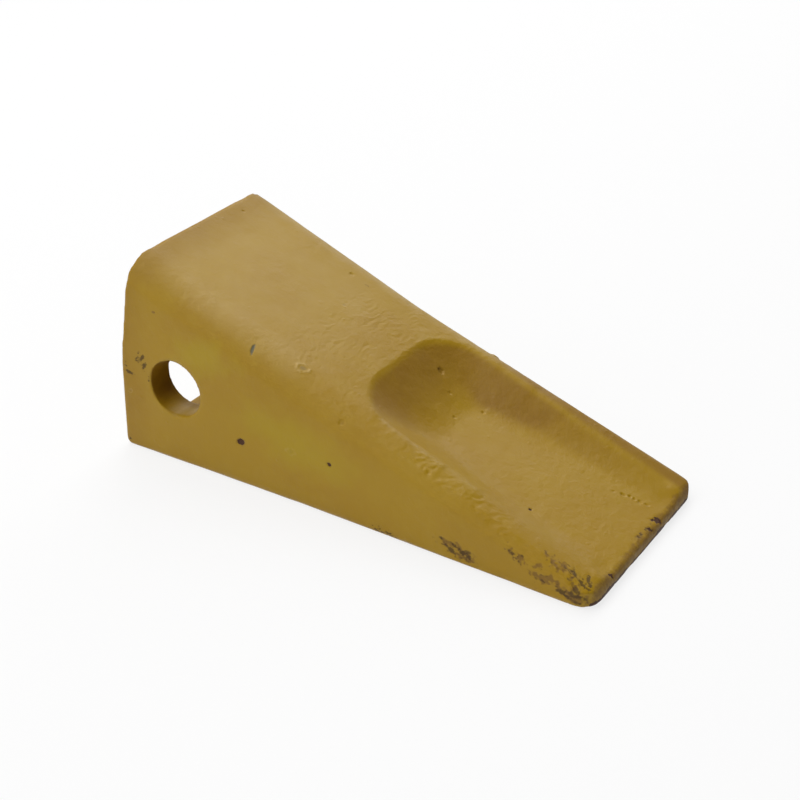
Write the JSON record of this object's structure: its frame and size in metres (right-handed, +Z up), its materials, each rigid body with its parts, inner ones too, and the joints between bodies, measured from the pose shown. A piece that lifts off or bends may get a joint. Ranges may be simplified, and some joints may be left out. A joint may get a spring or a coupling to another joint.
{
  "type": "bucket tooth",
  "caption": "Wedge-shaped cast steel digging tooth with a tapered rear nose socket, a cross pin bore through both cheeks and a dished top face, painted and scuffed.",
  "frame": {"origin": "on the axis of the cross pin bore, midway between the two cheeks", "axes": "+X runs to the cutting tip, +Y to the left cheek along the pin bore, +Z up from the flat bottom face"},
  "size_m": [0.2329, 0.0982, 0.0934],
  "materials": {
    "tooth": "semi-gloss ochre paint over cast steel, scuffed to dark metal along the lower edge and the tip"
  },
  "bodies": {
    "root": {"tooth": "tooth"}
  },
  "joints": []
}
